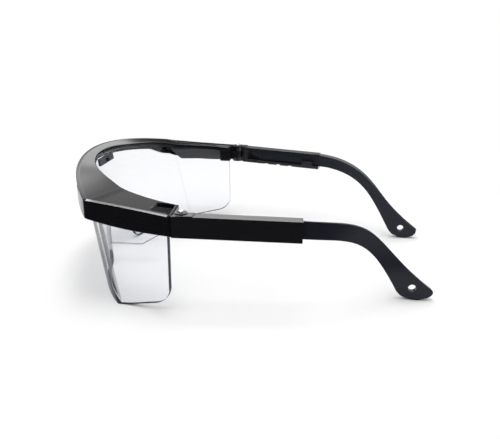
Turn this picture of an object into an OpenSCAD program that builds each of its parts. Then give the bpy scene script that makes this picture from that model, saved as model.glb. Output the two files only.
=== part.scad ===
/* [Overall] */
// Length from the front of the brow to the tips of the temples
overall_l = 168.6; // [166:0.2:172]
// Height of the middle of the brow above the surface
brow_top = 54.5; // [53:0.5:56]
// Half width across the frame where the temples meet it
seam_x = 72.3; // [71:0.1:74]

/* [Brow frame] */
// Half width of the brow at its front corners
corner_x = 65.2; // [64:0.1:67]
// How far the front bows ahead of its corners
brow_bow = 21.3; // [19:0.1:23]
// Length of each side piece, from corner to temple
side_len = 38.7; // [38:0.1:40]
// Top of the brow at its corners
corner_top = 46.6; // [46:0.1:47.5]
// Top of the side piece where it meets the temple
seam_top = 43.2; // [42.8:0.1:43.6]
// Bottom of the side piece where it meets the temple
seam_bottom = 34.35; // [34:0.05:34.8]
// Height of the brow's front face in the middle
face_h = 6.3; // [5.5:0.1:7]
// Thickness of the top shelf
shelf_t = 2.6; // [2.2:0.1:2.8]
// Thickness of the front and side walls
wall = 2.1; // [1.8:0.1:2.2]

/* [Lens] */
// Thickness of the lens
lens_t = 2.1; // [1.8:0.1:2.2]
// Rearward lean of the lens front for each unit of height
rake = 0.16; // [0.15:0.005:0.2]
// Height of the nose cut-out
nose_h = 27.5; // [24:0.5:29]
// Half width of the nose cut-out at the bottom
nose_w = 19; // [17:0.5:20]
// Radius of the lower rear corner of each side shield
shield_r = 7; // [5:0.5:8]

/* [Temples] */
// Toe-in of the temple sleeves, in degrees
toe_in = 7.4; // [7:0.1:7.8]
// Fall of the temple sleeves towards the ear, in degrees
sleeve_fall = 2.2; // [2:0.1:2.4]
// Length of a temple sleeve
sleeve_l = 53.2; // [52.8:0.1:53.6]
// Height of a sleeve's outer wall
sleeve_h = 9.1; // [8.9:0.1:9.2]
// Depth of a sleeve, from outer wall to open side
sleeve_d = 5.8; // [5.7:0.1:6]
// Distance between two length settings
notch_pitch = 7.1; // [7:0.1:7.2]
// Thickness of a temple arm
arm_t = 2.8; // [2.6:0.1:3]
// Half distance between the two temple tips
tip_x = 41; // [40:0.5:43]
// Radius of the lanyard hole in each tip
lanyard_r = 1.75; // [1.5:0.05:1.9]

/* [Hinge] */
// Distance from the seam back to the hinge screw
pivot_back = 3.25; // [3.2:0.05:3.3]
// Distance from the outer face in to the hinge screw
pivot_in = 4.8; // [4.7:0.1:5]
// Radius of the hinge screw's shank
screw_r = 0.95; // [0.9:0.01:1]
// Radial clearance of the frame's lug on the screw
run_gap = 0.07; // [0.03:0.01:0.1]

/* [Hidden] */
$fn = 48;

front_y = -overall_l / 2;
corner_y = front_y + brow_bow;
seam_y = corner_y + side_len;
bow_r = (corner_x * corner_x + brow_bow * brow_bow) / (2 * brow_bow);
bow_angle = asin(corner_x / bow_r);
face_flare = 2.3;
lobe_start = 50;
lobe_end = 61;
side_curl = 1.25;
side_sweep = 2.6;
corner_share = 0.6;
brow_rings = 22;
front_dip = 1.2;
side_dip = 0.15;
open_y = front_y + 5.3;
open_end_x = seam_x - 14.2;

lens_gap = 0.5;
lens_inset = wall + lens_gap;
lens_r = bow_r - lens_inset;
lens_datum = 51.5;
lens_curl = 1.25;
lens_flare = 2.9;
rear_flare = 0.8;
flare_top = 44;
lens_corner_x = corner_x - 2.3;
lens_rear_y = seam_y - 2.2;
lens_rear_x = seam_x - 2.9;
lens_top_gap = 0.6;
shield_rise = 3.6;

clip_top = brow_top - shelf_t - front_dip - 0.6;
clip_y = open_y + 0.15;
clip_t = 1.3;

plate_t = 1.8;
plate_y0 = corner_y + 5.5;
block_y0 = seam_y - 5.7;
plate_bottom = 36;
block_inner_x = seam_x - 14.4;
block_outer_x = lens_rear_x - lens_t - 0.9;

pivot_x = seam_x - pivot_in;
pivot_y = seam_y + pivot_back;
lug_r = 3.05;
lug_gap = 0.2;
lower_lug = [34.6, 37];
upper_lug = [40.6, 43.3];
insert_r = 1.6;
boss_top = 43.7;

seam_gap = 0.18;
sleeve_wall = 1.5;
sleeve_lip = 0.8;
lip_drop = 8.7;
channel_s0 = 10.5;
stem_h = 5.9;
stem_t = 2.5;
stem_gap = 0.15;
stem_s0 = 17;
tip_reach = 55.38;
mouth_y = overall_l / 2 - tip_reach;
arm_rings = 26;

function lerp(a, b, t) = a + (b - a) * t;
function smooth(a, b, v) = let (t = min(1, max(0, (v - a) / (b - a)))) t * t * (3 - 2 * t);
function bezier(p, t) = pow(1 - t, 3) * p[0] + 3 * pow(1 - t, 2) * t * p[1]
    + 3 * (1 - t) * t * t * p[2] + t * t * t * p[3];

// Plan of the brow's outer edge for one half, from the middle (0) to the temple (1)
function outer_edge(t) = t < corner_share
    ? let (a = bow_angle * t / corner_share) [bow_r * sin(a), front_y + bow_r * (1 - cos(a))]
    : let (u = (t - corner_share) / (1 - corner_share))
        [corner_x + (seam_x - corner_x) * pow(u, side_curl), corner_y + side_len * u];
function outer_top(t) = t < corner_share
    ? let (x = outer_edge(t)[0] / corner_x) brow_top - (brow_top - corner_top) * x * x
    : lerp(corner_top, seam_top, (t - corner_share) / (1 - corner_share));
function outer_bottom(t) = t < corner_share
    ? outer_top(t) - face_h - face_flare * smooth(lobe_start, lobe_end, outer_edge(t)[0])
    : seam_bottom + (corner_top - face_h - face_flare - seam_bottom)
        * pow((1 - t) / (1 - corner_share), side_sweep);
function inward(t) = let (e = 0.002, d = outer_edge(min(1, t + e)) - outer_edge(max(0, t - e)))
    [-d[1], d[0]] / norm(d);
function wall_edge(t, w) = let (p = outer_edge(t) + w * inward(t)) [p[0], min(p[1], seam_y)];
// Plan of the shelf's open inner edge, which follows the forehead
function inner_edge(t) = bezier([[0, open_y], [33.5, open_y - 0.6],
    [53.2, corner_y + 16.3], [open_end_x, seam_y]], t);
// How far the shelf falls from its outer edge to its inner edge
function shelf_dip(t) = lerp(front_dip, side_dip, smooth(0.2, 0.55, t));

function brow_ring(t, side) = let (o = outer_edge(t), w = wall_edge(t, wall), i = inner_edge(t),
    top = outer_top(t), low = outer_bottom(t))
    [for (p = [[o, top], [o, low], [w, low], [w, top - shelf_t],
        [i, top - shelf_t - shelf_dip(t)], [i, top - shelf_dip(t)]])
        [side * p[0][0], p[0][1], p[1]]];

// A closed skin through equal rings of points
module skin(rings) {
    n = len(rings[0]);
    last = len(rings) - 1;
    points = [for (r = rings) for (p = r) p];
    sides = [for (k = [0:last - 1]) for (j = [0:n - 1])
        let (a = k * n + j, b = k * n + (j + 1) % n, c = a + n, d = b + n)
        each [[a, d, b], [a, c, d]]];
    start = [for (j = [1:n - 2]) [3, (3 + j) % n, (4 + j) % n]];
    end = [for (f = start) [last * n + f[0], last * n + f[2], last * n + f[1]]];
    polyhedron(points, concat(sides, start, end), convexity = 8);
}

module both_sides() {
    children();
    mirror([1, 0, 0]) children();
}

module side_of(side) {
    mirror([side < 0 ? 1 : 0, 0, 0]) children();
}

// Frame of a temple sleeve: origin at its outer top front corner, +Y along it, -X inwards
module sleeve_frame() {
    translate([seam_x, seam_y + 0.3, seam_top])
        rotate([-sleeve_fall, 0, toe_in]) children();
}

module brow_shell() {
    steps = [for (k = [-brow_rings:brow_rings]) k / brow_rings];
    skin([for (s = steps) brow_ring(abs(s), s < 0 ? -1 : 1)]);
}

module lens_plate() {
    plate_l = block_y0 - plate_y0 + 1;
    lean = atan((lens_rear_x - lens_corner_x) / (lens_rear_y - corner_y - 2));
    translate([lens_corner_x - lens_t - 0.1, plate_y0, plate_bottom])
        rotate([0, 0, -lean]) translate([-plate_t, 0, 0]) cube([plate_t, plate_l, 7]);
}

module end_block() {
    translate([block_inner_x, block_y0, plate_bottom])
        cube([block_outer_x - block_inner_x, seam_y - block_y0, seam_top - plate_bottom - 1]);
}

module frame_lug() {
    z0 = lower_lug[1] + lug_gap;
    h = upper_lug[0] - lug_gap - z0;
    translate([pivot_x, pivot_y, z0]) cylinder(r = lug_r - 0.35, h = h);
    translate([pivot_x - lug_r + 0.35, seam_y - 1.5, z0])
        cube([2 * (lug_r - 0.35), pivot_back + 1.5, h]);
}

module brow_frame() {
    color([0.05, 0.05, 0.06]) difference() {
        union() {
            brow_shell();
            both_sides() {
                lens_plate();
                end_block();
                frame_lug();
            }
        }
        both_sides() {
            translate([pivot_x, pivot_y, seam_bottom]) cylinder(r = screw_r + run_gap, h = 10);
            translate([block_inner_x + 1, block_y0 - 3.3, seam_top - 3.5])
                cube([3.7, 7.7, 6]);
        }
    }
}

// Plan of the lens's outer surface at a height, for one half; it flares out towards its bottom
function lens_edge(t, z) = let (back = rake * (lens_datum - z), low = max(0, 1 - z / flare_top),
    cx = lens_corner_x + lens_flare * low, rx = lens_rear_x + rear_flare * low,
    yc = front_y + bow_r - sqrt(lens_r * lens_r - cx * cx) + back)
    t < corner_share
    ? let (a = asin(cx / lens_r) * t / corner_share)
        [lens_r * sin(a), front_y + bow_r - lens_r * cos(a) + back]
    : let (u = (t - corner_share) / (1 - corner_share))
        [lerp(cx, rx, pow(u, lens_curl)), lerp(yc, lens_rear_y, u)];
function lens_inward(t, z) = let (e = 0.004,
    d = lens_edge(min(1, t + e), z) - lens_edge(max(0, t - e), z)) [-d[1], d[0]] / norm(d);
function lens_top(t) = outer_top(t) - shelf_t - 0.85 * shelf_dip(t) - lens_top_gap;
function lens_low(t) = t < corner_share ? 0
    : shield_rise * smooth(0, 1, (t - corner_share) / (1 - corner_share));
function lens_ring(t, side) = let (zt = lens_top(t), zb = lens_low(t),
    ot = lens_edge(t, zt), ob = lens_edge(t, zb),
    it = ot + lens_t * lens_inward(t, zt), ib = ob + lens_t * lens_inward(t, zb))
    [for (p = [[ot, zt], [ob, zb], [ib, zb], [it, zt]]) [side * p[0][0], p[0][1], p[1]]];

function nose_line(t, grow) = bezier([[nose_w + grow, -1], [nose_w - 4 + grow, 12],
    [12 + grow, nose_h + grow], [0, nose_h + grow]], t);

module nose_shape(grow) {
    right = [for (k = [0:12]) nose_line(k / 12, grow)];
    left = [for (k = [11:-1:0]) let (p = nose_line(k / 12, grow)) [-p[0], p[1]]];
    polygon(concat([[nose_w + grow, -6]], right, left, [[-nose_w - grow, -6]]));
}

module along_y(y0, y1) {
    translate([0, y1, 0]) rotate([90, 0, 0]) linear_extrude(y1 - y0) children();
}

module lens() {
    steps = [for (k = [-brow_rings:brow_rings]) k / brow_rings];
    color([0.85, 0.9, 0.95, 0.35]) difference() {
        skin([for (s = steps) lens_ring(abs(s), s < 0 ? -1 : 1)]);
        along_y(front_y - 5, front_y + 40) nose_shape(0);
        both_sides() {
            translate([50, lens_rear_y - shield_r, -3]) difference() {
                cube([40, shield_r + 3, shield_rise + shield_r + 3]);
                translate([-1, 0, shield_rise + shield_r + 3])
                    rotate([0, 90, 0]) cylinder(r = shield_r, h = 42);
            }
            translate([50, block_y0 - 0.4, plate_bottom - 0.4]) cube([40, 12, 20]);
        }
    }
}

// Clear saddle that spreads the weight on the nose, deepest at its lower edge
module nose_bridge() {
    y0 = front_y + lens_inset + lens_t;
    side = [[y0 + 4.6, 40], [y0 + 4.6, nose_h], [y0 + 7.2, 8.5], [corner_y + 7, 8.6],
        [corner_y + 17.5, 14.5], [corner_y + 16, 19], [corner_y - 2, nose_h + 4],
        [corner_y - 6, 40]];
    color([0.85, 0.9, 0.95, 0.35]) intersection() {
        along_y(y0, corner_y + 20) difference() {
            nose_shape(0);
            nose_shape(-1.6);
        }
        translate([-40, 0, 0]) rotate([90, 0, 90]) linear_extrude(80) polygon(side);
    }
}

module clip_place() {
    translate([0, clip_y, clip_top]) rotate([atan(rake), 0, 0]) children();
}

module lens_clip() {
    color([0.3, 0.31, 0.34]) clip_place() difference() {
        translate([-9, 0, -3.5]) cube([18, clip_t, 3.5]);
        translate([0, -1, -1.9]) rotate([-90, 0, 0]) cylinder(r = 0.85, h = 4);
    }
}

module lens_clip_pin() {
    color([0.06, 0.06, 0.07]) clip_place() translate([0, -0.1, -1.9]) rotate([-90, 0, 0]) {
        cylinder(r = 0.8, h = clip_t + 0.2);
        translate([0, 0, clip_t + 0.1]) cylinder(r = 1.2, h = 0.7);
    }
}

module hinge_screw(side) {
    head_z = boss_top + 0.02;
    color([0.75, 0.75, 0.78]) side_of(side) translate([pivot_x, pivot_y, 0]) difference() {
        union() {
            translate([0, 0, lower_lug[0] + 0.2]) cylinder(r = screw_r, h = head_z - lower_lug[0] - 0.1);
            translate([0, 0, head_z]) cylinder(r1 = 1.5, r2 = 1.15, h = 0.8, $fn = 32);
        }
        translate([-0.85, -0.16, head_z + 0.42]) cube([1.7, 0.32, 1]);
        translate([-0.16, -0.85, head_z + 0.42]) cube([0.32, 1.7, 1]);
    }
}

module hinge_insert(side) {
    color([0.72, 0.6, 0.3]) side_of(side) translate([pivot_x, pivot_y, lower_lug[0] + 0.1])
        difference() {
            cylinder(r = insert_r, h = lower_lug[1] - lower_lug[0] - 0.1);
            translate([0, 0, -1]) cylinder(r = screw_r + 0.02, h = 5);
        }
}

module sleeve_body() {
    sleeve_frame() difference() {
        union() {
            translate([-sleeve_wall, -0.7, -sleeve_h])
                cube([sleeve_wall, sleeve_l + 0.7, sleeve_h]);
            translate([-sleeve_d, 7.2, -sleeve_lip]) cube([sleeve_d, sleeve_l - 7.2, sleeve_lip]);
            translate([-sleeve_d, 7.2, -lip_drop])
                cube([sleeve_d, sleeve_l - 7.2, sleeve_lip + 1]);
            translate([-sleeve_d, 7.2, -lip_drop]) cube([sleeve_d, channel_s0 - 7.2, lip_drop]);
            translate([-sleeve_d, sleeve_l - 10.2, -lip_drop]) cube([1.0, 6.6, 4.3]);
        }
        for (k = [0:3])
            translate([-sleeve_d - 0.01, 15 + k * notch_pitch, -lip_drop])
                rotate([0, 90, 0]) cylinder(r = 1, h = sleeve_d - sleeve_wall, $fn = 24);
    }
}

module knuckle(z, top) {
    translate([pivot_x, pivot_y, z]) cylinder(r = lug_r, h = top - z);
    translate([pivot_x - 1, pivot_y - 2.7, z]) cube([pivot_in + 0.4, 5.4, top - z]);
    translate([pivot_x - 1.4, pivot_y, z]) cube([pivot_in + 0.4, 5.5, top - z]);
}

module temple_sleeve(side) {
    color([0.04, 0.04, 0.05]) side_of(side) difference() {
        union() {
            sleeve_body();
            knuckle(lower_lug[0], lower_lug[1]);
            knuckle(upper_lug[0], upper_lug[1]);
            translate([pivot_x, pivot_y, upper_lug[1] - 0.5])
                cylinder(r = lug_r - 0.3, h = boss_top - upper_lug[1] + 0.5);
        }
        translate([0, seam_y + seam_gap - 10, 0]) cube([90, 10, 60]);
        translate([pivot_x, pivot_y, lower_lug[0] - 1]) cylinder(r = insert_r, h = 3.4);
        translate([pivot_x, pivot_y, lower_lug[0] - 1]) cylinder(r = screw_r + 0.05, h = 14);
    }
}

arm_top_line = [[0, 41], [34.6, 38], [26.8, 26], [54.7, 5.3]];
arm_low_line = [[0, 33.4], [22.2, 32], [26.6, 27.7], [39.1, 4.6]];
tip_top_line = [[54.7, 5.3], [56.2, 4.2], [55.1, 2.2], [53, 1.2]];
tip_low_line = [[39.1, 4.6], [40.7, 1.6], [43.5, 0], [49, 0]];
arm_start_x = seam_x - sleeve_l * sin(toe_in) - sleeve_wall - arm_t / 2 - 0.15;
// Plan of an arm's middle: along the sleeve at first, then inwards, then straight back
arm_plan = [[0, arm_start_x], [16, arm_start_x - 16 * tan(toe_in)], [26, tip_x + 1], [41, tip_x]];
function plan_t(d, lo = 0, hi = 1, n = 22) = let (m = (lo + hi) / 2)
    n == 0 ? m : bezier(arm_plan, m)[0] < d ? plan_t(d, m, hi, n - 1) : plan_t(d, lo, m, n - 1);
function arm_x(d) = d >= 41 ? tip_x : bezier(arm_plan, plan_t(d))[1];
function arm_side(p, side) = let (e = 0.1, x = arm_x(p[0]), g = (arm_x(p[0] + e) - x) / e,
    k = sqrt(1 + g * g) * arm_t / 2) [x + side * k, mouth_y + p[0], p[1]];
function arm_ring(top, low) = let (n = (top - low) / norm(top - low), c = 0.6)
    [arm_side(top, 1), arm_side(low, 1), arm_side(low + c * n, -1), arm_side(top - c * n, -1)];

module arm_blade() {
    body = [for (k = [0:arm_rings]) let (t = k / arm_rings)
        arm_ring(bezier(arm_top_line, t), bezier(arm_low_line, t))];
    tip = [for (k = [1:8]) let (t = k / 8)
        arm_ring(bezier(tip_top_line, t), bezier(tip_low_line, t))];
    skin(concat(body, tip));
}

module temple_arm(side) {
    stem_x = -sleeve_wall - stem_gap - stem_t;
    color([0.08, 0.09, 0.12]) side_of(side) difference() {
        union() {
            arm_blade();
            sleeve_frame() translate([stem_x, stem_s0, -sleeve_lip - stem_gap - stem_h])
                cube([stem_t, sleeve_l - stem_s0 + 1.6, stem_h]);
        }
        sleeve_frame() translate([stem_x - 1, stem_s0 + 2.8, -lip_drop / 2])
            rotate([0, 90, 0]) cylinder(r = 1.05, h = stem_t + 2);
        translate([tip_x - 5, mouth_y + 46.3, 5.6]) rotate([0, 90, 0])
            cylinder(r = lanyard_r, h = 10);
    }
}

brow_frame();
lens();
nose_bridge();
lens_clip();
lens_clip_pin();
hinge_screw(1);  // hinge_screw_left
hinge_screw(-1);  // hinge_screw_right
hinge_insert(1);  // hinge_insert_left
hinge_insert(-1);  // hinge_insert_right
temple_sleeve(1);  // temple_sleeve_left
temple_sleeve(-1);  // temple_sleeve_right
temple_arm(1);  // temple_arm_left
temple_arm(-1);  // temple_arm_right
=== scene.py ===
from math import asin, atan, cos, hypot, radians, sin, sqrt, tan

import bmesh
import bpy
from mathutils import Matrix, Vector


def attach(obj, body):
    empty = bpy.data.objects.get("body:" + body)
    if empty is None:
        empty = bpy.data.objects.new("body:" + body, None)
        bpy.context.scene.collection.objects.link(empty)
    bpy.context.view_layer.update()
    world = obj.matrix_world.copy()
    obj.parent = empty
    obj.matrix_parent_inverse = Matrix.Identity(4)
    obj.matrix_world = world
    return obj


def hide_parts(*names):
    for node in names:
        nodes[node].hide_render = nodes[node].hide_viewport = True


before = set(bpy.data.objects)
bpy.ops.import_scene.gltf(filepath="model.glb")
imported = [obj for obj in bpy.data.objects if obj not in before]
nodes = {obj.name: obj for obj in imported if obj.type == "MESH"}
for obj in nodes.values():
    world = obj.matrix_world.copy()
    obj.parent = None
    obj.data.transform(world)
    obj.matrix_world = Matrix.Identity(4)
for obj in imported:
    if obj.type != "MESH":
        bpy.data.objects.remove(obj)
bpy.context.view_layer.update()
mm = 0.001
scene = bpy.context.scene
print("frame loaded:", len(nodes), "nodes")


# plain sums that the shapes share, all in millimetres

def blend(a, b, t):
    return a + (b - a) * t


def ease(a, b, v):
    t = min(1.0, max(0.0, (v - a) / (b - a)))
    return t * t * (3 - 2 * t)


def curve(points, t):  # a point on the curve through two ends, drawn by two handles
    a, b, c, d = (Vector(p) for p in points)
    return (1 - t) ** 3 * a + 3 * (1 - t) ** 2 * t * b + 3 * (1 - t) * t * t * c + t ** 3 * d


def steps(a, b, count):
    return [a + (b - a) * k / count for k in range(count + 1)]


# brow plan, shared by the frame and the lens

browShape = {
    "frontY": -84.3, "cornerY": -63.0, "seamY": -24.3,
    "cornerX": 65.2, "seamX": 72.3,
    "top": 54.5, "cornerTop": 46.6, "seamTop": 43.2, "seamBottom": 34.35,
    "faceHeight": 6.3, "flare": 2.3, "shelf": 2.6, "wall": 2.1, "frontDip": 1.2, "sideDip": -0.9,
    "sideCurl": 1.25, "sideSweep": 2.6, "cornerShare": 0.6,
    "capStart": 53.0, "capProud": 0.4, "rimWidth": 1.0, "rimRise": 0.75, "crest": 0.5,
}
sideLength = browShape["seamY"] - browShape["cornerY"]
bowDepth = browShape["cornerY"] - browShape["frontY"]
bowRadius = (browShape["cornerX"] ** 2 + bowDepth ** 2) / (2 * bowDepth)
bowAngle = asin(browShape["cornerX"] / bowRadius)


def plainEdge(t):  # plan of the brow's outer edge: 0 in the middle, 1 at the temple
    s = browShape
    if t < s["cornerShare"]:
        a = bowAngle * t / s["cornerShare"]
        return Vector((bowRadius * sin(a), s["frontY"] + bowRadius * (1 - cos(a))))
    u = (t - s["cornerShare"]) / (1 - s["cornerShare"])
    return Vector((blend(s["cornerX"], s["seamX"], u ** s["sideCurl"]), s["cornerY"] + sideLength * u))


def outerEdge(t, stand=0.0):  # the same with its corner eased, and the end cap standing proud of it
    s = browShape
    eased = 0.008
    if abs(t - s["cornerShare"]) < eased:
        a, b = outerEdge(s["cornerShare"] - eased, stand), outerEdge(s["cornerShare"] + eased, stand)
        k = (t - s["cornerShare"] + eased) / (2 * eased)
        tip = plainEdge(s["cornerShare"]) + Vector((0, -stand))
        return (1 - k) ** 2 * a + 2 * k * (1 - k) * tip + k * k * b
    p = plainEdge(t)
    if t < s["cornerShare"]:
        proud = ease(s["capStart"], s["capStart"] + 0.35, p.x)
    else:
        proud = (1 - t) / (1 - s["cornerShare"])
    return p + Vector((0, -stand * proud))


def shelfDip(t):
    return blend(browShape["frontDip"], browShape["sideDip"], ease(0.2, 0.55, t))


def outerTop(t):
    s = browShape
    if t < s["cornerShare"]:
        x = plainEdge(t).x / s["cornerX"]
        return s["top"] - (s["top"] - s["cornerTop"]) * x * x
    return blend(s["cornerTop"], s["seamTop"], (t - s["cornerShare"]) / (1 - s["cornerShare"]))


def outerBottom(t):
    s = browShape
    if t < s["cornerShare"]:
        return outerTop(t) - s["faceHeight"] - s["flare"] * ease(50, 61, plainEdge(t).x)
    full = s["cornerTop"] - s["faceHeight"] - s["flare"] - s["seamBottom"]
    return s["seamBottom"] + full * ((1 - t) / (1 - s["cornerShare"])) ** s["sideSweep"]


def inward(t):  # level direction from the edge towards the inside
    reach = 0.03
    d = plainEdge(min(1, t + reach)) - plainEdge(max(0, t - reach))
    return Vector((-d.y, d.x)).normalized()


def innerEdge(t):
    s = browShape
    return curve([(0, s["frontY"] + 5.3, 0), (33.5, s["frontY"] + 4.7, 0), (57.2, s["cornerY"] + 16.3, 0),
                  (s["seamX"] - 14.2, s["seamY"], 0)], t).xy


# mesh helpers

def loft(rings):  # a closed skin through equal rings of points: one grid bent round them
    across, along = len(rings[0]), len(rings) - 1
    bm = bmesh.new()
    bmesh.ops.create_grid(bm, x_segments=across, y_segments=along, size=0.5)
    for vert in bm.verts:
        k = round((vert.co.x + 0.5) * across) % across
        ring = round((vert.co.y + 0.5) * along)
        vert.co = Vector(rings[ring][k]) * mm
    bmesh.ops.remove_doubles(bm, verts=bm.verts, dist=1e-7)
    bmesh.ops.holes_fill(bm, edges=[e for e in bm.edges if e.is_boundary], sides=0)
    bmesh.ops.recalc_face_normals(bm, faces=bm.faces)
    return bm


def roundLoop(corners, radii, cuts=3):  # eases each corner of a closed outline
    points = []
    for k, corner in enumerate(corners):
        before, after = corners[k - 1] - corner, corners[(k + 1) % len(corners)] - corner
        a = corner + before.normalized() * min(radii[k], before.length * 0.45)
        b = corner + after.normalized() * min(radii[k], after.length * 0.45)
        for j in range(cuts + 1):
            t = j / cuts
            points.append((1 - t) ** 2 * a + 2 * t * (1 - t) * corner + t * t * b)
    return points


def block(bm, low, high):  # a plain block between two corners, in millimetres
    made = bmesh.ops.create_cube(bm, size=1)["verts"]
    low, high = Vector(low) * mm, Vector(high) * mm
    for vert in made:
        vert.co = Vector([blend(low[k], high[k], vert.co[k] + 0.5) for k in range(3)])


def rod(bm, start, end, radius, sides=32):  # a round bar between two points, in millimetres
    start, end = Vector(start) * mm, Vector(end) * mm
    turn = (end - start).to_track_quat("Z", "Y").to_matrix().to_4x4()
    place = Matrix.Translation((start + end) / 2) @ turn
    bmesh.ops.create_cone(bm, cap_ends=True, segments=sides, radius1=radius * mm, radius2=radius * mm,
                          depth=(end - start).length, matrix=place)


def plate(bm, outline, push):  # a flat outline pushed out into a thick plate, in millimetres
    face = bm.faces.new([bm.verts.new(Vector(p) * mm) for p in outline])
    pushed = bmesh.ops.extrude_face_region(bm, geom=[face])["geom"]
    moved = [g for g in pushed if isinstance(g, bmesh.types.BMVert)]
    bmesh.ops.translate(bm, verts=moved, vec=Vector(push) * mm)


def soften(bm, width, above=30, segments=3, edges=None):  # bevels the sharp edges, in millimetres
    bm.normal_update()
    chosen = edges if edges is not None else [
        e for e in bm.edges if len(e.link_faces) == 2 and e.calc_face_angle(0) > radians(above)]
    return bmesh.ops.bevel(bm, geom=chosen, offset=width * mm, offset_type="OFFSET", segments=segments,
                           profile=0.5, affect="EDGES", clamp_overlap=True, material=-1)["faces"]


def cutOut(bm, shape):  # takes one closed shape out of another and hands back the rest
    held = []
    for one in (bm, shape):
        bmesh.ops.recalc_face_normals(one, faces=one.faces)
        mesh = bpy.data.meshes.new("cutting")
        one.to_mesh(mesh)
        one.free()
        held.append(bpy.data.objects.new("cutting", mesh))
        scene.collection.objects.link(held[-1])
    cut = held[0].modifiers.new("cut", "BOOLEAN")
    cut.object, cut.operation, cut.solver = held[1], "DIFFERENCE", "EXACT"
    bpy.context.view_layer.update()
    seen = held[0].evaluated_get(bpy.context.evaluated_depsgraph_get())
    rest = bmesh.new()
    rest.from_mesh(seen.to_mesh())
    seen.to_mesh_clear()
    for one in held:
        mesh = one.data
        bpy.data.objects.remove(one)
        bpy.data.meshes.remove(mesh)
    return rest


def joinInto(bm, other):  # adds a second shape to the first
    mesh = bpy.data.meshes.new("joining")
    other.to_mesh(mesh)
    other.free()
    bm.from_mesh(mesh)
    bpy.data.meshes.remove(mesh)


def piece(name, bm, body, material, replaced=(), side=1, weighted=True):
    if side < 0:
        bmesh.ops.scale(bm, vec=(-1, 1, 1), verts=bm.verts)
    bmesh.ops.recalc_face_normals(bm, faces=bm.faces)
    for face in bm.faces:
        face.smooth = True
    mesh = bpy.data.meshes.new(name)
    bm.to_mesh(mesh)
    bm.free()
    made = bpy.data.objects.new(name, mesh)
    scene.collection.objects.link(made)
    for one in material if isinstance(material, (list, tuple)) else [material]:
        mesh.materials.append(one)
    if weighted:
        even = made.modifiers.new("even shading", "WEIGHTED_NORMAL")
        even.keep_sharp = True
        even.weight = 80
    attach(made, body)
    if replaced:
        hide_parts(*replaced)
    return made


# shader helpers

class Wire:  # a socket that takes part in plain sums
    def __init__(self, recipe, socket):
        self.recipe, self.socket = recipe, socket

    def sum(self, kind, a, b):
        return self.recipe.node("ShaderNodeMath", {"operation": kind}, {0: a, 1: b})

    def __add__(self, other):
        return self.sum("ADD", self, other)

    def __radd__(self, other):
        return self.sum("ADD", other, self)

    def __sub__(self, other):
        return self.sum("SUBTRACT", self, other)

    def __rsub__(self, other):
        return self.sum("SUBTRACT", other, self)

    def __mul__(self, other):
        return self.sum("MULTIPLY", self, other)

    def __rmul__(self, other):
        return self.sum("MULTIPLY", other, self)

    def __truediv__(self, other):
        return self.sum("DIVIDE", self, other)

    def __pow__(self, other):
        return self.sum("POWER", self, other)


class Recipe:  # one material or world, and the single way its nodes are added
    def __init__(self, owner):
        owner.use_nodes = True
        self.tree = owner.node_tree
        self.tree.nodes.clear()

    def node(self, kind, settings=None, inputs=None, out=0):
        made = self.tree.nodes.new(kind)
        for name, value in (settings or {}).items():
            setattr(made, name, value)
        for name, value in (inputs or {}).items():
            if isinstance(value, Wire):
                self.tree.links.new(value.socket, made.inputs[name])
            else:
                made.inputs[name].default_value = value
        return Wire(self, made.outputs[out]) if len(made.outputs) else None

    def mix(self, amount, first, second):
        return self.node("ShaderNodeMix", {"data_type": "RGBA"}, {0: amount, 6: first, 7: second}, 2)

    def clamp(self, value, low, high, outLow=0.0, outHigh=1.0):
        return self.node("ShaderNodeMapRange", {"interpolation_type": "SMOOTHSTEP"},
                         {"Value": value, "From Min": low, "From Max": high,
                          "To Min": outLow, "To Max": outHigh})


def finish(name):
    made = bpy.data.materials.new(name)
    return made, Recipe(made)


def rgb(r, g, b):
    return (r, g, b, 1)


# moulded plastic: base colour with a faint cloud, uneven gloss, fine skin and a few light scuffs
def mouldedPlastic(name, colour, cloud, gloss, skin, coat=0.0, satin=None, index=1.5):
    made, r = finish(name)
    where = r.node("ShaderNodeTexCoord", out=3)
    broad = r.node("ShaderNodeTexNoise", {}, {"Vector": where, "Scale": 38.0, "Detail": 3.0})
    fine = r.node("ShaderNodeTexNoise", {}, {"Vector": where, "Scale": 900.0, "Detail": 4.0})
    long = r.node("ShaderNodeMapping", {}, {"Vector": where, "Scale": (2600.0, 90.0, 1700.0)})
    lines = r.node("ShaderNodeTexNoise", {}, {"Vector": long, "Scale": 1.0, "Detail": 5.0})
    rubbed = r.clamp(lines, 0.64, 0.74) * 0.5
    shade = r.mix(broad, colour, cloud)
    shade = r.mix(rubbed * 0.35, shade, rgb(*[min(1, 3.2 * c + 0.012) for c in colour[:3]]))
    rough = gloss[0] + (gloss[1] - gloss[0]) * broad + rubbed * 0.16
    if satin:
        front = r.node("ShaderNodeAttribute", {"attribute_name": "satin"}, out=2)
        rough = rough + front * satin
        coat = front * coat
    bump = r.node("ShaderNodeBump", {}, {
        "Strength": skin, "Distance": 0.00004, "Height": fine + broad * 0.6})
    shader = r.node("ShaderNodeBsdfPrincipled", {}, {
        "Base Color": shade, "Roughness": rough, "Normal": bump, "IOR": index,
        "Coat Weight": coat, "Coat Roughness": 0.16})
    r.node("ShaderNodeOutputMaterial", {}, {"Surface": shader})
    return made


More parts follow.
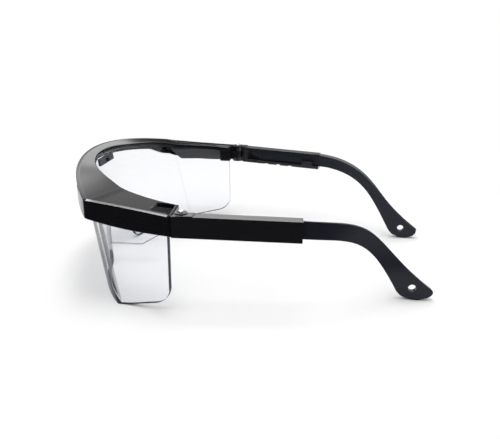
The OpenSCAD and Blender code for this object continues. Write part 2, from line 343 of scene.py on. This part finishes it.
def turnedMetal(name, colour, dark, gloss):
    made, r = finish(name)
    where = r.node("ShaderNodeTexCoord", out=3)
    grain = r.node("ShaderNodeTexNoise", {}, {"Vector": where, "Scale": 1400.0, "Detail": 3.0})
    patch = r.node("ShaderNodeTexNoise", {}, {"Vector": where, "Scale": 300.0, "Detail": 2.0})
    shade = r.mix(r.clamp(patch, 0.45, 0.75) * 0.5, colour, dark)
    bump = r.node("ShaderNodeBump", {}, {"Strength": 0.25, "Distance": 0.00003, "Height": grain})
    shader = r.node("ShaderNodeBsdfPrincipled", {}, {
        "Base Color": shade, "Roughness": gloss + 0.14 * patch, "Metallic": 1.0, "Normal": bump})
    r.node("ShaderNodeOutputMaterial", {}, {"Surface": shader})
    return made


def clearLens(name, tint, edgeShadeColour):
    made, r = finish(name)
    where = r.node("ShaderNodeTexCoord", out=3)
    haze = r.node("ShaderNodeTexNoise", {}, {"Vector": where, "Scale": 30.0, "Detail": 2.0})
    specks = r.node("ShaderNodeTexNoise", {}, {"Vector": where, "Scale": 1500.0, "Detail": 2.0})
    # painted shade: the cut edges and the fold, marked in the rim attribute, mix towards a near-black
    # shader that stands in for the dark lines refraction gives there
    edge = r.node("ShaderNodeAttribute", {"attribute_name": "rim"}, out=2)
    facing = r.node("ShaderNodeLayerWeight", {}, {"Blend": 0.5}, 1)
    mirror = 0.012 + facing ** 5 * 0.5
    grazingShade = r.clamp(facing, 0.80, 0.90)  # painted shade along the grazing silhouette, standing in for the dark line that refraction gives where the view runs the long way through the sheet
    dust = r.clamp(specks, 0.70, 0.78) * 0.05
    seeThrough = r.node("ShaderNodeBsdfTransparent", {}, {"Color": rgb(*tint)})
    gloss = r.node("ShaderNodeBsdfPrincipled", {}, {
        "Base Color": rgb(0.36, 0.38, 0.46), "Metallic": 1.0, "Roughness": 0.03 + 0.03 * haze})
    dark = r.node("ShaderNodeBsdfPrincipled", {}, {
        "Base Color": rgb(*edgeShadeColour), "Roughness": 0.2, "Specular IOR Level": 0.05})
    sheet = r.node("ShaderNodeMixShader", {}, {0: mirror + dust, 1: seeThrough, 2: gloss})
    paintedEdgeShade = r.clamp((edge + grazingShade) * 0.85, 0.0, 1.0)
    whole = r.node("ShaderNodeMixShader", {}, {0: paintedEdgeShade, 1: sheet, 2: dark})
    r.node("ShaderNodeOutputMaterial", {}, {"Surface": whole})
    return made


frameBlack = mouldedPlastic("frameBlack", rgb(0.003, 0.003, 0.004), rgb(0.006, 0.006, 0.008),
                            (0.14, 0.21), 0.08, coat=1.0, satin=0.08, index=1.28)
templeBlack = mouldedPlastic("templeBlack", rgb(0.003, 0.003, 0.004), rgb(0.006, 0.006, 0.008),
                             (0.14, 0.22), 0.12, coat=0.6, index=1.4)
armBlack = mouldedPlastic("armBlack", rgb(0.006, 0.008, 0.013), rgb(0.010, 0.013, 0.021),
                          (0.26, 0.36), 0.22, index=1.34)
plateGrey = mouldedPlastic("plateGrey", rgb(0.062, 0.063, 0.070), rgb(0.084, 0.085, 0.094),
                           (0.38, 0.50), 0.35)
clipGrey = mouldedPlastic("clipGrey", rgb(0.055, 0.058, 0.068), rgb(0.080, 0.084, 0.098),
                          (0.34, 0.46), 0.30)
screwSteel = turnedMetal("screwSteel", rgb(0.80, 0.79, 0.77), rgb(0.45, 0.42, 0.38), 0.16)
insertBrass = turnedMetal("insertBrass", rgb(0.72, 0.56, 0.26), rgb(0.42, 0.30, 0.14), 0.24)
# the last colour is the near-black painted shade for the lens's edges, fold and grazing silhouette
lensClear = clearLens("lensClear", (0.976, 0.979, 0.989), (0.012, 0.012, 0.028))
# painted shade: a dark grey for the clear saddle's eased edges, standing in for the dark lines refraction
# gives there
saddleEdgeShade = mouldedPlastic("saddleEdgeShade", rgb(0.16, 0.16, 0.20), rgb(0.24, 0.24, 0.29), (0.10, 0.18), 0.1)
print("finishes ready")


# brow frame

def browRing(t, side):
    s = browShape
    face, line, n = outerEdge(t, s["capProud"]), outerEdge(t), inward(t)
    i = innerEdge(t)
    top, low = outerTop(t), outerBottom(t)
    down = 0.10 + s["rimRise"] * ease(0.6, 0.66, t)

    def at(inset, z):
        p = line + n * inset if inset else face
        return Vector((p.x, min(p.y, s["seamY"]), z))
    inner = Vector((i.x, i.y, 0))
    fall = shelfDip(t)
    edge = s["crest"] * ease(0.594, 0.606, t)  # the polished slope along the outer top edge
    corners = [at(0, low), at(0, top - 0.1 - edge), at(0.15 + 1.6 * edge, top),
               at(s["rimWidth"] + 0.3, top), at(s["rimWidth"] + 0.6, top - down),
               inner + Vector((0, 0, top - fall - 0.2 * down)),
               inner + Vector((0, 0, top - fall - s["shelf"])),
               at(s["wall"], top - s["shelf"]), at(s["wall"], low)]
    ring = roundLoop(corners, [0.45, 0.12, 0.1, 0.2, 0.2, 0.7, 0.5, 0.4, 0.5])
    return [Vector((side * p.x, p.y, p.z)) for p in ring]


capT = browShape["cornerShare"] * asin(browShape["capStart"] / bowRadius) / bowAngle
halfStations = (steps(0, capT - 0.004, 26)[:-1] + [capT - 0.004, capT, capT + 0.0008, capT + 0.0016,
                capT + 0.0024, capT + 0.004] + steps(capT + 0.01, 0.59, 8) + steps(0.592, 0.608, 8)
                + steps(0.61, 0.68, 8)[1:] + steps(0.69, 1.0, 18))
stations = [(t, -1) for t in reversed(halfStations[1:])] + [(t, 1) for t in halfStations]
brow = loft([browRing(t, side) for t, side in stations])
endShape = {
    "pocketLow": (58.95, -33.2, 39.7), "pocketHigh": (62.55, -25.7, 46),
    "blockX": (57.9, 66.4), "blockZ": (36.0, 42.2), "blockLength": 5.7, "seamGap": 0.05,
    "pivotX": 67.5, "pivotY": -21.05, "lugR": 2.7, "lugZ": (37.2, 40.4), "lugRoot": 1.2, "ease": 0.2,
}


def pocket(side):  # the moulding pocket beside each hinge
    bm = bmesh.new()
    (x0, y0, z0), (x1, y1, z1) = endShape["pocketLow"], endShape["pocketHigh"]
    block(bm, (side * x0, y0, z0), (side * x1, y1, z1))
    return bm


for side in (1, -1):
    brow = cutOut(brow, pocket(side))
satin = brow.verts.layers.float.new("satin")
for vert in brow.verts:  # the shelf's front has a brighter skin than its sides
    vert[satin] = 1 - ease(-74, -58, vert.co.y / mm)


def endParts(side, word):  # hinge lug and pocketed block of one end
    s, seamY = endShape, browShape["seamY"]
    (x0, x1), (z0, z1) = s["blockX"], s["blockZ"]
    bm = bmesh.new()
    block(bm, (x0, seamY - s["blockLength"], z0), (x1, seamY - s["seamGap"], z1))
    bm = cutOut(bm, pocket(1))
    lug = bmesh.new()
    px, py, (low, high) = s["pivotX"], s["pivotY"], s["lugZ"]
    rod(lug, (px, py, low), (px, py, high), s["lugR"])
    block(lug, (px - s["lugR"], seamY - s["lugRoot"], low), (px + s["lugR"], py, high))
    joinInto(bm, lug)
    soften(bm, s["ease"], 40, 2)
    piece("endBlock" + word, bm, "front", frameBlack, side=side)


piece("brow", brow, "front", frameBlack, ["brow_frame"])
endParts(1, "Left")
endParts(-1, "Right")
print("brow done")

# grey plates inside the brow's sides

plateShape = {
    "start": -60.6, "slope": 5.6, "end": -29.4, "low": 36.1, "high": 42.6, "thick": 1.6,
    "x": 60.7, "lean": atan(6.5 / 35.1), "pivotY": -57.5, "ribDepth": 0.85, "ease": 0.25,
}


def sidePlate(side, word):
    s = plateShape
    start, end, low, high, face = s["start"], s["end"], s["low"], s["high"], 0.3 - s["thick"]
    bm = bmesh.new()
    plate(bm, [(0, start, high), (0, start + 1.2, high - 1.7), (0, start + s["slope"], low + 0.4),
               (0, start + s["slope"] + 1.2, low), (0, end, low), (0, end, high)], (-s["thick"], 0, 0))
    plate(bm, [(face, start + 1.6, high - 1.5), (face, end, high - 1.5),
               (face, end, high - 0.4), (face, start + 1.2, high - 0.4)], (-s["ribDepth"], 0, 0))
    soften(bm, s["ease"], 40, 2)
    bmesh.ops.rotate(bm, cent=Vector((0, s["pivotY"] * mm, 0)), verts=bm.verts,
                     matrix=Matrix.Rotation(-s["lean"], 3, "Z"))
    bmesh.ops.translate(bm, verts=bm.verts, vec=(s["x"] * mm, 0, 0))
    piece("sidePlate" + word, bm, "front", plateGrey, side=side)


sidePlate(1, "Left")
sidePlate(-1, "Right")

# lens

lensShape = {"thick": 2.1, "rake": 0.16, "datum": 51.5, "inset": 2.6, "cornerX": 62.9, "curl": 1.25,
             "flare": 2.9, "rearFlare": 0.8, "flareTop": 44,
             "rearX": 69.4, "rearY": -26.5, "rise": 3.6, "rearRadius": 7.0, "topGap": 0.6, "foldShade": 0.12,
             "dipShare": 0.85, "leastDip": 0.15, "noseEdgeShade": 0.45, "lowRows": range(14, 17)}
lensRadius = bowRadius - lensShape["inset"]
share = browShape["cornerShare"]  # the part of the way round that the front takes up
noseLine = [(19, -1, 0), (15, 12, 0), (12, 27.5, 0), (0, 27.5, 0)]


def lensPlan(t, z):  # plan of the lens's outer surface at a height: 0 in the middle, 1 at the rear edge
    s = lensShape
    back = s["rake"] * (s["datum"] - z)
    middle = browShape["frontY"] + bowRadius
    low = max(0, 1 - z / s["flareTop"])
    corner, rear = s["cornerX"] + s["flare"] * low, s["rearX"] + s["rearFlare"] * low

    def plain(k):
        if k < share:
            a = asin(corner / lensRadius) * k / share
            return Vector((lensRadius * sin(a), middle - lensRadius * cos(a) + back))
        u = (k - share) / (1 - share)
        yc = middle - sqrt(lensRadius ** 2 - corner ** 2) + back
        return Vector((blend(corner, rear, u ** s["curl"]), blend(yc, s["rearY"], u)))
    eased = 0.006
    if abs(t - share) < eased:
        k = (t - share + eased) / (2 * eased)
        before, tip, after = plain(share - eased), plain(share), plain(share + eased)
        return (1 - k) ** 2 * before + 2 * k * (1 - k) * tip + k * k * after
    return plain(t)


def lensInward(t, z):
    d = lensPlan(min(1, t + 0.02), z) - lensPlan(max(0, t - 0.02), z)
    return Vector((-d.y, d.x)).normalized()


def lensColumns():  # (t, lowest z, strength of the painted dark edge shade) of each column of one half, from the middle out
    s = lensShape
    found = []
    for k in range(19):  # round the nose
        p = curve(noseLine, 1 - 0.86 * k / 18)
        found.append((p.x, p.y))
    start = Vector((found[-1][0], found[-1][1], 0))
    for k in range(1, 9):  # the lobe's rounded inner corner
        p = curve([start, start + Vector((0.75, -3.2, 0)), (19.6, 0.2, 0), (25.5, 0.0, 0)], k / 8)
        found.append((p.x, p.y))
    wide = asin((s["cornerX"] + 0.7 * s["flare"]) / lensRadius)
    columns = [(share * asin(x / lensRadius) / wide, max(0.0, z), 0.0) for x, z in found]
    columns += [(t, 0.0, 0.0) for t in steps(columns[-1][0], 0.591, 14)[1:]]
    # the fold's columns carry a faint painted dark line
    columns += [(t, 0.0, s["foldShade"]) for t in steps(0.5945, 0.6055, 6)]
    columns += [(share + (1 - share) * u, None, 0.0) for u in steps(0.0225, 0.70, 10)]
    length = s["rearY"] - lensPlan(share, 3).y
    curl = (1 - share) * s["rearRadius"] / length
    columns += [(1 - curl * cos(radians(a)), None, 0.0) for a in range(6, 88, 6)]
    columns += [(1 - (1 - share) * 0.2 / length, None, 0.0), (1.0, None, 1.0)]
    done = []
    for t, z, rim in columns:
        if z is None:  # the side shield's lower edge rises, then rounds up to the rear
            u = (t - share) / (1 - share)
            z = s["rise"] * ease(0, 1, u)
            gone = s["rearRadius"] - (1 - u) * length
            if gone > 0:
                z += s["rearRadius"] - sqrt(max(0.0, s["rearRadius"] ** 2 - gone ** 2))
        done.append((t, z, rim))
    return done


def lensRing(t, low, side):
    s = lensShape
    dip = s["dipShare"] * max(s["leastDip"], shelfDip(t))
    high = outerTop(t) - browShape["shelf"] - dip - s["topGap"]
    rows = [0, 0.7 / (high - low)] + [0.06 + 0.94 * k / 12 for k in range(1, 13)]
    ring = []
    for k in reversed(rows):
        z = blend(low, high, k)
        p = lensPlan(t, z)
        ring.append(Vector((p.x, p.y, z)))
    base, n = lensPlan(t, low), lensInward(t, low)
    for inset, drop in ((0.35, 0.16), (1.05, 0.22), (1.75, 0.16)):
        ring.append(Vector((base.x + n.x * inset, base.y + n.y * inset, max(0.0, low - drop))))
    for k in rows:
        z = blend(low, high, k)
        p, n = lensPlan(t, z), lensInward(t, z)
        ring.append(Vector((p.x + n.x * s["thick"], p.y + n.y * s["thick"], z)))
    return [Vector((side * p.x, p.y, p.z)) for p in ring]


halfLens = lensColumns()
lensStations = [(t, z, rim, -1) for t, z, rim in reversed(halfLens[1:])]
lensStations += [(t, z, rim, 1) for t, z, rim in halfLens]
lens = loft([lensRing(t, z, side) for t, z, rim, side in lensStations])
edgeShadeLayer = lens.verts.layers.float.new("rim")
edgeShadeAt = {}  # how strongly the painted dark shade shows on the cut edge at each point
for t, z, rim, side in lensStations:
    for k, p in enumerate(lensRing(t, z, side)):
        # the bottom edge rows carry the painted dark edge shade, fainter round the nose
        below = 1.0 if t > 0.15 else lensShape["noseEdgeShade"]
        edgeShadeAt[tuple(round(c, 3) for c in p)] = below if k in lensShape["lowRows"] else rim
for vert in lens.verts:
    vert[edgeShadeLayer] = edgeShadeAt.get(tuple(round(c / mm, 3) for c in vert.co), 0.0)
piece("lensShield", lens, "front", lensClear, ["lens"], weighted=False)
print("lens done")

# saddle, sleeves, screws, clip and pin: copies of the frame's own solids with their edges eased

def easedCopy(node, width, segments=2, above=35, edgeSlot=0):
    bm = bmesh.new()
    bm.from_mesh(nodes[node].data)
    bmesh.ops.remove_doubles(bm, verts=bm.verts, dist=1e-6)
    bmesh.ops.dissolve_limit(bm, angle_limit=radians(1.5), verts=bm.verts, edges=bm.edges)
    for face in soften(bm, width, above, segments):
        face.material_index = edgeSlot
    return bm


# the saddle's eased edges take the second slot, the painted dark edge shade
saddle = easedCopy("nose_bridge", 0.22, 2, 50, 1)
piece("noseSaddle", saddle, "front", [lensClear, saddleEdgeShade], ["nose_bridge"])
sleeveShape = {
    "ease": 0.38, "toeIn": radians(7.4), "fall": radians(2.2), "length": 53.2, "wall": 1.5, "step": 0.3,
}


def sleeveAxes():  # origin at the left sleeve's outer top front corner, Y along it
    s = browShape
    place = Matrix.Translation(Vector((s["seamX"], s["seamY"] + sleeveShape["step"], s["seamTop"])) * mm)
    turn = Matrix.Rotation(sleeveShape["toeIn"], 4, "Z") @ Matrix.Rotation(-sleeveShape["fall"], 4, "X")
    return place @ turn


for side, word in ((1, "left"), (-1, "right")):
    body = "temple_" + word
    sleeve = easedCopy("temple_sleeve_" + word, sleeveShape["ease"])
    piece("sleeve" + word.title(), sleeve, body, templeBlack, ["temple_sleeve_" + word])
    screw = easedCopy("hinge_screw_" + word, 0.12, 3)
    piece("screw" + word.title(), screw, body, screwSteel, ["hinge_screw_" + word])
    insert = nodes["hinge_insert_" + word].data.materials
    insert.clear()
    insert.append(insertBrass)
clip = easedCopy("lens_clip", 0.35, 3)
piece("lensClip", clip, "front", clipGrey, ["lens_clip"])
pin = easedCopy("lens_clip_pin", 0.15, 2)
piece("clipPin", pin, "front", frameBlack, ["lens_clip_pin"])
print("sleeves and small parts done")

# temple arms

armShape = {
    "mouthY": 28.92, "thick": 2.8, "tipX": 41.0, "ease": 0.55,
    "top": [(0, 41), (34.6, 38), (26.8, 26), (54.7, 5.3)],
    "low": [(0, 33.4), (22.2, 32), (26.6, 27.7), (39.1, 4.6)],
    "tipTop": [(54.7, 5.3), (56.2, 4.2), (55.1, 2.2), (53, 1.2)],
    "tipLow": [(39.1, 4.6), (40.7, 1.6), (43.5, 0), (49, 0)],
    "holeR": 1.75, "holeD": 46.3, "holeZ": 5.6, "holeEase": 0.22,
    "straight": 16, "bendEnd": 41, "mouthReach": 9, "mouthGap": 0.12,
    "stemLow": (-4.15, 17, -6.8), "stemHigh": (-1.65, 54.8, -1.0), "stemEase": 0.25, "stemGap": 0.15,
}
armStartX = (browShape["seamX"] - sleeveShape["length"] * sin(sleeveShape["toeIn"])
             - sleeveShape["wall"] - armShape["thick"] / 2 - armShape["stemGap"])
armBendX = armStartX - armShape["straight"] * tan(sleeveShape["toeIn"])
armPlan = [(0, armStartX, 0), (armShape["straight"], armBendX, 0),
           (26, armShape["tipX"] + 1, 0), (armShape["bendEnd"], armShape["tipX"], 0)]


def armX(d):  # how far out the arm's middle lies, this far behind the sleeve's mouth
    if d >= armShape["bendEnd"]:
        return armShape["tipX"]
    low, high = 0.0, 1.0
    for _ in range(24):
        half = (low + high) / 2
        if curve(armPlan, half).x < d:
            low = half
        else:
            high = half
    return curve(armPlan, low).y


def armRing(top, low):
    s = armShape
    n = (top - low).normalized()

    def at(p, side):
        g = (armX(p.x + 0.1) - armX(p.x)) / 0.1
        return Vector((armX(p.x) + side * hypot(1, g) * s["thick"] / 2, s["mouthY"] + p.x, p.y))
    ring = [at(top, 1), at(low, 1), at(low + 0.6 * n, -1), at(top - 0.6 * n, -1)]
    fade = 1 - ease(0, s["mouthReach"], top.x)
    if fade:  # the first stretch turns to lie flat against the sleeve's mouth
        axes, mouth = sleeveAxes(), sleeveShape["length"] + s["mouthGap"]
        along, start = axes.to_3x3() @ Vector((0, 1, 0)), axes.translation / mm
        for p in ring:
            p.y += fade * ((mouth - (p - start).dot(along)) / along.y + top.x)
    return ring


def lineAt(points, t):
    return curve([(*p, 0) for p in points], t).xy


def arm(side, word):
    s = armShape
    rings = [armRing(lineAt(s["top"], t), lineAt(s["low"], t)) for t in steps(0, 1, 54)]
    rings += [armRing(lineAt(s["tipTop"], t), lineAt(s["tipLow"], t)) for t in steps(0, 1, 16)[1:]]
    bm = loft(rings)
    soften(bm, s["ease"], 35, 3)
    hole = bmesh.new()
    middle = Vector((s["tipX"], s["mouthY"] + s["holeD"], s["holeZ"]))
    rod(hole, middle - Vector((4, 0, 0)), middle + Vector((4, 0, 0)), s["holeR"], sides=48)
    bm = cutOut(bm, hole)
    rim = [e for e in bm.edges if len(e.link_faces) == 2 and e.calc_face_angle(0) > radians(60)
           and all(abs((v.co / mm - middle).yz.length - s["holeR"]) < 0.03 for v in e.verts)]
    soften(bm, s["holeEase"], edges=rim, segments=2)
    stem = bmesh.new()  # slides in the sleeve
    block(stem, s["stemLow"], s["stemHigh"])
    bmesh.ops.transform(stem, matrix=sleeveAxes(), verts=stem.verts)
    soften(stem, s["stemEase"], 40, 2)
    joinInto(bm, stem)
    piece("arm" + word.title(), bm, "arm_" + word, armBlack, ["temple_arm_" + word], side=side)


arm(1, "left")
arm(-1, "right")
print("arms done")

# floor, light and camera

studio = {"dome": 0.60, "back": 1.0, "mirrorBack": 1.4, "mirrorLow": 0.025, "mirrorTop": 0.16,
          "floorFrom": 0.17, "floorTo": 0.34, "flagStart": 0.078}
white, r = finish("floorWhite")
where = r.node("ShaderNodeTexCoord", out=3)
cloud = r.node("ShaderNodeTexNoise", {}, {"Vector": where, "Scale": 1.5, "Detail": 2.0})
shade = r.mix(cloud, rgb(0.94, 0.94, 0.945), rgb(0.955, 0.955, 0.955))
paper = r.node("ShaderNodeBsdfPrincipled", {}, {
    "Base Color": shade, "Roughness": 0.9, "Specular IOR Level": 0.0})
away = r.node("ShaderNodeVectorMath", {"operation": "LENGTH"}, {0: where}, 1)
gone = r.clamp(away, studio["floorFrom"], studio["floorTo"])
clear = r.node("ShaderNodeBsdfTransparent")
sheet = r.node("ShaderNodeMixShader", {}, {0: gone, 1: paper, 2: clear})
r.node("ShaderNodeOutputMaterial", {}, {"Surface": sheet})
black, r = finish("flagBlack")
where = r.node("ShaderNodeTexCoord", out=3)
felt = r.node("ShaderNodeTexNoise", {}, {"Vector": where, "Scale": 200.0})
shader = r.node("ShaderNodeBsdfPrincipled", {}, {
    "Base Color": r.mix(felt, rgb(0.004, 0.004, 0.006), rgb(0.01, 0.01, 0.012)), "Roughness": 0.9})
r.node("ShaderNodeOutputMaterial", {}, {"Surface": shader})


def card(name, low, high, height, material):  # a flat sheet between two corners, in metres
    bm = bmesh.new()
    bmesh.ops.create_grid(bm, x_segments=4, y_segments=4, size=0.5)
    for vert in bm.verts:
        vert.co = (blend(low[0], high[0], vert.co.x + 0.5), blend(low[1], high[1], vert.co.y + 0.5), height)
    mesh = bpy.data.meshes.new(name)
    bm.to_mesh(mesh)
    bm.free()
    mesh.materials.append(material)
    made = bpy.data.objects.new(name, mesh)
    scene.collection.objects.link(made)
    return made


card("floor", (-1, -1), (1, 1), -0.0001, white)
flag = card("flag", (studio["flagStart"], -1), (1, 1), 0.0004, black)  # keeps the near sides dark
flag.visible_camera = flag.visible_diffuse = flag.visible_transmission = flag.visible_shadow = False

world = bpy.data.worlds.new("studio")
scene.world = world
r = Recipe(world)
toward = r.node("ShaderNodeTexCoord", out=0)
parts = r.node("ShaderNodeSeparateXYZ", {}, {"Vector": toward}).socket.node.outputs
sideways, ahead, height = [Wire(r, part) for part in parts]
behind = r.clamp(sideways, -0.05, -0.35)
band = r.clamp(height, 0.215, 0.315) * (1 - r.clamp(height, 0.62, 0.85))
aside = r.clamp(ahead / sideways, 0.27, 0.35) * (1 - r.clamp(height, 0.42, 0.50))
above = r.clamp(height, 0.0, 0.3)
mirrored = (studio["mirrorLow"] + behind * band * (1 - aside * 0.6) * studio["mirrorBack"]
            + above * (1 - behind) * studio["mirrorTop"])
rays = r.node("ShaderNodeLightPath").socket.node.outputs
glossy, diffuse = Wire(r, rays["Is Glossy Ray"]), Wire(r, rays["Is Diffuse Ray"])
level = glossy * mirrored + (1 - glossy) * (diffuse * studio["dome"] + (1 - diffuse) * studio["back"])
sky = r.node("ShaderNodeBackground", {}, {"Color": rgb(1, 1, 1), "Strength": level})
r.node("ShaderNodeOutputWorld", {}, {"Surface": sky})


def softbox(name, place, size, power, floorToo=True, glossToo=True):  # faces the object
    light = bpy.data.lights.new(name, "AREA")
    light.shape = "RECTANGLE"
    light.size, light.size_y = size
    light.energy = power
    made = bpy.data.objects.new(name, light)
    scene.collection.objects.link(made)
    made.location = place
    made.rotation_euler = (Vector((0, 0, 0.02)) - Vector(place)).to_track_quat("-Z", "Y").to_euler()
    made.visible_diffuse, made.visible_glossy = floorToo, glossToo


softbox("boxOver", (0.03, 0.0, 0.75), (0.22, 0.5), 2.25, glossToo=False)  # metres and watts
softbox("boxNear", (0.55, 0.05, 0.70), (0.45, 0.45), 0.9)
softbox("boxFar", (-0.55, 0.05, 0.70), (0.45, 0.45), 0.9)
softbox("boxEdges", (-0.14, -0.14, 0.78), (0.8, 0.15), 12.0, floorToo=False)  # shows along the edges only

cameraPlace = {"lens": 46.8, "at": (0.31113, 0.04519, 0.12292), "fall": 18.172, "swing": 8.836}
camera = bpy.data.cameras.new("camera")
camera.lens, camera.sensor_width, camera.sensor_fit = cameraPlace["lens"], 36, "HORIZONTAL"
camera.clip_start, camera.clip_end = 0.01, 30
view = bpy.data.objects.new("camera", camera)
scene.collection.objects.link(view)
fall, swing = radians(cameraPlace["fall"]), radians(cameraPlace["swing"])
view.location = cameraPlace["at"]
look = Vector((-cos(fall) * cos(swing), -cos(fall) * sin(swing), -sin(fall)))
view.rotation_euler = look.to_track_quat("-Z", "Y").to_euler()
scene.camera = view
scene.view_settings.view_transform = "Standard"
scene.view_settings.look = "None"
print("studio ready")
